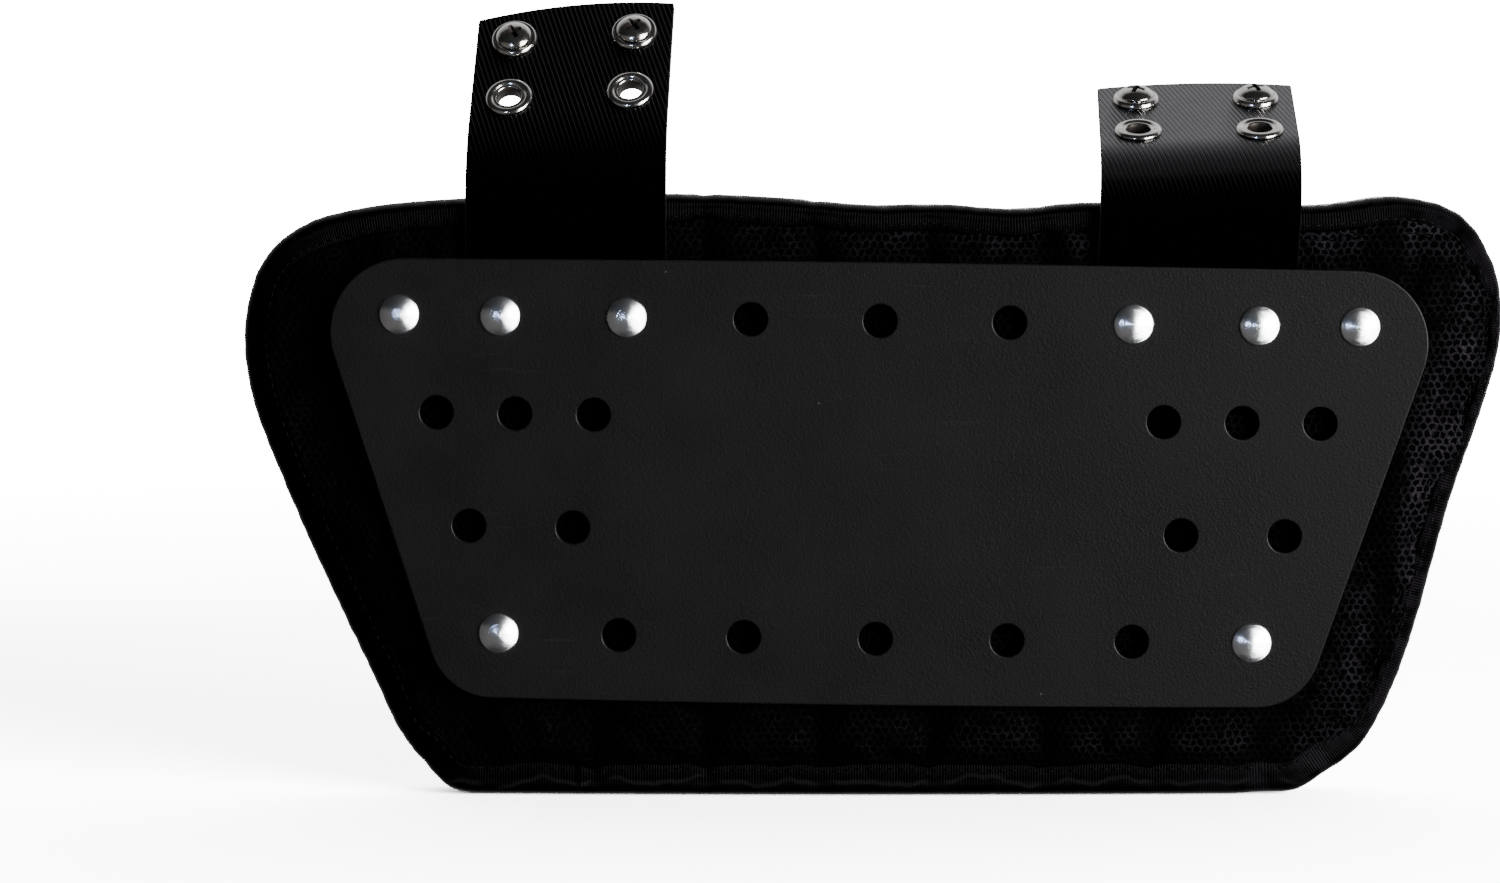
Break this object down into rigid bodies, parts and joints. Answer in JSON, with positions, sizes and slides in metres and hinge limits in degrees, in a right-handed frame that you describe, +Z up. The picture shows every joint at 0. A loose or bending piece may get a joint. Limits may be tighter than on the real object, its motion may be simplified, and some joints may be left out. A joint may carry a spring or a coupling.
{
  "type": "football back plate",
  "caption": "Stiff vented plate riveted to a quilted foam pad with a taped edge, and strap ends that screw to shoulder pads.",
  "frame": {"origin": "bottom centre of the whole part's box, on the surface that the pad's lower edge stands on", "axes": "+X to the right seen from the front, +Y back towards the wearer, +Z up; the plate faces -Y"},
  "size_m": [0.3796, 0.0652, 0.2419],
  "materials": {
    "pad_mesh": "black spacer mesh over quilted foam",
    "edge_tape": "black ribbed binding tape with a slight sheen",
    "plate": "matte charcoal with a fine pebble grain",
    "strap": "satin black with fine diagonal ribs",
    "rivet": "satin aluminium",
    "fitting": "bright nickel"
  },
  "bodies": {
    "root": {"pad": "pad_mesh", "edge_binding": "edge_tape", "back_plate": "plate", "strap_left": "strap", "strap_right": "strap", "rivet_top_left": "rivet", "rivet_top_right": "rivet", "rivet_bottom_left": "rivet", "rivet_bottom_right": "rivet", "rivet_strap_left_a": "rivet", "rivet_strap_left_b": "rivet", "rivet_strap_right_a": "rivet", "rivet_strap_right_b": "rivet", "eyelet_left_a": "fitting", "eyelet_left_b": "fitting", "eyelet_right_a": "fitting", "eyelet_right_b": "fitting", "cup_washer_left_a": "fitting", "cup_washer_left_b": "fitting", "cup_washer_right_a": "fitting", "cup_washer_right_b": "fitting", "screw_left_a": "fitting", "screw_left_b": "fitting", "screw_right_a": "fitting", "screw_right_b": "fitting", "tee_nut_left_a": "fitting", "tee_nut_left_b": "fitting", "tee_nut_right_a": "fitting", "tee_nut_right_b": "fitting"}
  },
  "joints": []
}
